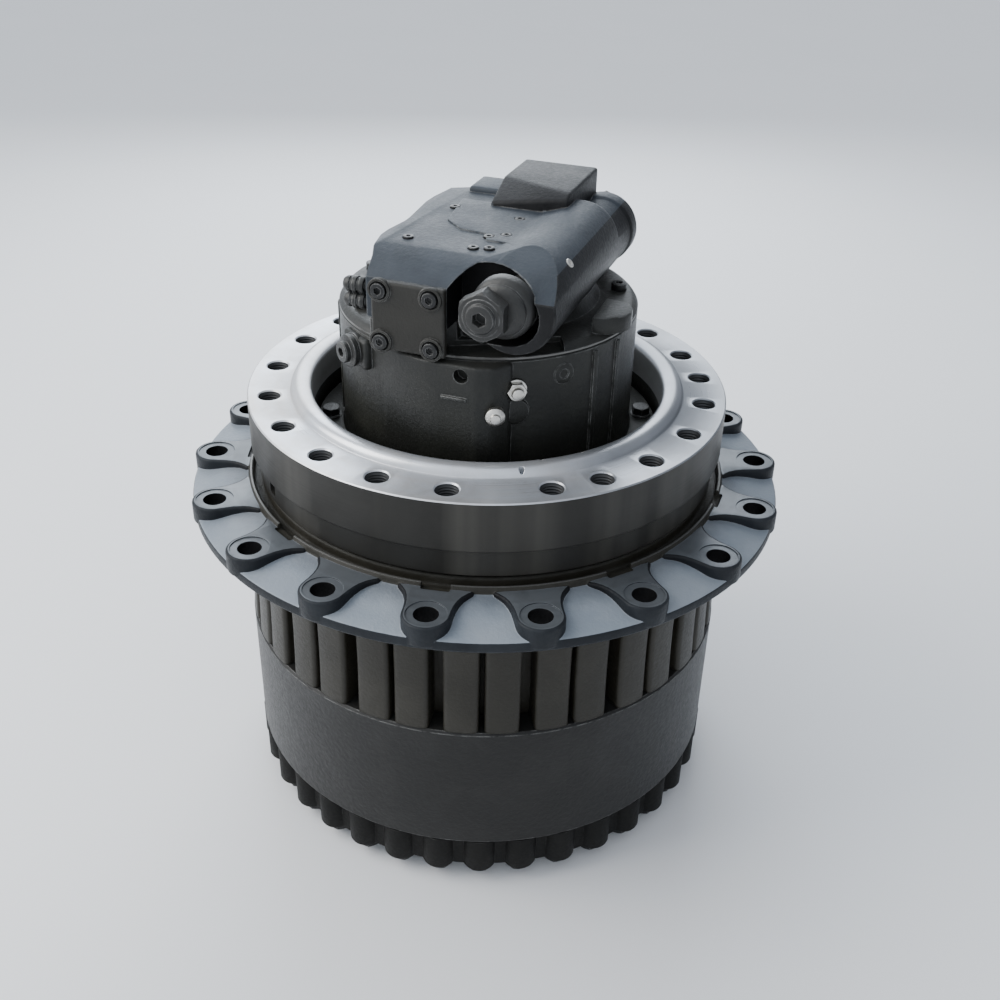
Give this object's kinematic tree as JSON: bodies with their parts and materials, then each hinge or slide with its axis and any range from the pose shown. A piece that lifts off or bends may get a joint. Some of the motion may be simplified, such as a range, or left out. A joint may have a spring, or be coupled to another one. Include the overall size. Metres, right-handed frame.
{
  "type": "excavator final drive",
  "caption": "Track final drive: a piston travel motor with its valve block drives two planetary stages inside a sprocket hub that turns on the frame flange.",
  "frame": {"origin": "centre of the gear cover's outer face, on the drive's axis", "axes": "+Z along the drive's axis, from the gear cover to the travel motor; -Y is the front of the valve block, where its plate is bolted"},
  "size_m": [0.5966, 0.5902, 0.6276],
  "materials": {
    "dark_paint": "semi-gloss charcoal paint",
    "motor_paint": "satin dark blue-grey paint",
    "machined_casting": "machined face, dark painted side",
    "plated_steel": "zinc plated",
    "gear_steel": "ground, oiled",
    "cast_iron": "raw casting, oiled"
  },
  "bodies": {
    "root": {"spindle_housing": "machined_casting", "second_carrier": "cast_iron", "second_planet_pin_1": "gear_steel", "second_planet_pin_2": "gear_steel", "second_planet_pin_3": "gear_steel", "bearing_nut": "gear_steel", "front_inner_race": "gear_steel", "rear_inner_race": "gear_steel", "fixed_seal_ring": "gear_steel", "motor_case": "motor_paint", "motor_end_cover": "motor_paint", "valve_block": "motor_paint", "front_plate": "motor_paint", "spool_cap_front": "motor_paint", "spool_cap_rear": "motor_paint", "spool_spring_front": "gear_steel", "spool_spring_rear": "gear_steel", "side_plug_upper": "motor_paint", "side_plug_lower": "motor_paint", "relief_valve": "motor_paint", "case_fitting": "plated_steel", "valve_plate": "cast_iron", "brake_plate": "gear_steel", "brake_spring": "gear_steel"},
    "hub": {"hub": "dark_paint", "ring_gear": "dark_paint", "gear_cover": "dark_paint", "drain_plug": "plated_steel", "level_plug": "plated_steel", "thrust_pad": "gear_steel", "front_outer_race": "gear_steel", "rear_outer_race": "gear_steel", "rotating_seal_ring": "gear_steel"},
    "first_carrier": {"first_carrier": "cast_iron", "second_sun_gear": "gear_steel", "first_planet_pin_1": "gear_steel", "first_planet_pin_2": "gear_steel", "first_planet_pin_3": "gear_steel"},
    "first_planet_1": {"first_planet_1": "gear_steel"},
    "second_planet_1": {"second_planet_1": "gear_steel"},
    "first_planet_2": {"first_planet_2": "gear_steel"},
    "second_planet_2": {"second_planet_2": "gear_steel"},
    "first_planet_3": {"first_planet_3": "gear_steel"},
    "second_planet_3": {"second_planet_3": "gear_steel"},
    "sun_shaft": {"first_sun_gear": "gear_steel", "drive_shaft": "gear_steel", "cylinder_block": "gear_steel", "brake_disc": "gear_steel", "piston_1": "gear_steel", "piston_2": "gear_steel", "piston_3": "gear_steel", "piston_4": "gear_steel", "piston_5": "gear_steel", "piston_6": "gear_steel", "piston_7": "gear_steel"},
    "front_roller_row": {"front_roller_row": "gear_steel"},
    "rear_roller_row": {"rear_roller_row": "gear_steel"},
    "spool": {"counterbalance_spool": "gear_steel"},
    "swash_plate": {"swash_plate": "gear_steel"},
    "brake_piston": {"brake_piston": "gear_steel"}
  },
  "joints": [
    {"name": "hub_spin", "type": "hinge", "parent": "root", "child": "hub", "pos_m": [0, 0, 0], "axis": [0, 0, 1], "continuous": true},
    {"name": "first_carrier_spin", "type": "hinge", "parent": "root", "child": "first_carrier", "pos_m": [0, 0, 0], "axis": [0, 0, 1], "continuous": true},
    {"name": "sun_shaft_spin", "type": "hinge", "parent": "root", "child": "sun_shaft", "pos_m": [0, 0, 0], "axis": [0, 0, 1], "continuous": true},
    {"name": "first_planet_1_spin", "type": "hinge", "parent": "first_carrier", "child": "first_planet_1", "pos_m": [0.1155, 0, 0], "axis": [0, 0, 1], "continuous": true},
    {"name": "first_planet_2_spin", "type": "hinge", "parent": "first_carrier", "child": "first_planet_2", "pos_m": [-0.05775, 0.10003, 0], "axis": [0, 0, 1], "continuous": true},
    {"name": "first_planet_3_spin", "type": "hinge", "parent": "first_carrier", "child": "first_planet_3", "pos_m": [-0.05775, -0.10003, 0], "axis": [0, 0, 1], "continuous": true},
    {"name": "second_planet_1_spin", "type": "hinge", "parent": "root", "child": "second_planet_1", "pos_m": [0.12375, 0, 0], "axis": [0, 0, 1], "continuous": true},
    {"name": "second_planet_2_spin", "type": "hinge", "parent": "root", "child": "second_planet_2", "pos_m": [-0.06187, 0.10717, 0], "axis": [0, 0, 1], "continuous": true},
    {"name": "second_planet_3_spin", "type": "hinge", "parent": "root", "child": "second_planet_3", "pos_m": [-0.06187, -0.10717, 0], "axis": [0, 0, 1], "continuous": true},
    {"name": "front_roller_row_spin", "type": "hinge", "parent": "root", "child": "front_roller_row", "pos_m": [0, 0, 0], "axis": [0, 0, 1], "continuous": true},
    {"name": "rear_roller_row_spin", "type": "hinge", "parent": "root", "child": "rear_roller_row", "pos_m": [0, 0, 0], "axis": [0, 0, 1], "continuous": true},
    {"name": "spool_slide", "type": "slide", "parent": "root", "child": "spool", "axis": [0, 1, 0], "range_m": [-0.008, 0.008], "stiffness_N_per_m": 6000, "deforming": ["spool_spring_front", "spool_spring_rear"]},
    {"name": "swash_tilt", "type": "hinge", "parent": "root", "child": "swash_plate", "pos_m": [0, 0, 0.35504], "axis": [1, 0, 0], "range_deg": [0, 7]},
    {"name": "brake_slide", "type": "slide", "parent": "root", "child": "brake_piston", "axis": [0, 0, 1], "range_m": [-0.0012, 0], "deforming": ["brake_spring"]}
  ],
  "couplings": [
    {"joint": "first_carrier_spin", "follows": "hub_spin", "ratio": -4},
    {"joint": "sun_shaft_spin", "follows": "hub_spin", "ratio": -34},
    {"joint": "first_planet_1_spin", "follows": "hub_spin", "ratio": 12},
    {"joint": "first_planet_2_spin", "follows": "hub_spin", "ratio": 12},
    {"joint": "first_planet_3_spin", "follows": "hub_spin", "ratio": 12},
    {"joint": "second_planet_1_spin", "follows": "hub_spin", "ratio": 2.6667},
    {"joint": "second_planet_2_spin", "follows": "hub_spin", "ratio": 2.6667},
    {"joint": "second_planet_3_spin", "follows": "hub_spin", "ratio": 2.6667},
    {"joint": "front_roller_row_spin", "follows": "hub_spin", "ratio": 0.52563},
    {"joint": "rear_roller_row_spin", "follows": "hub_spin", "ratio": 0.52563}
  ]
}
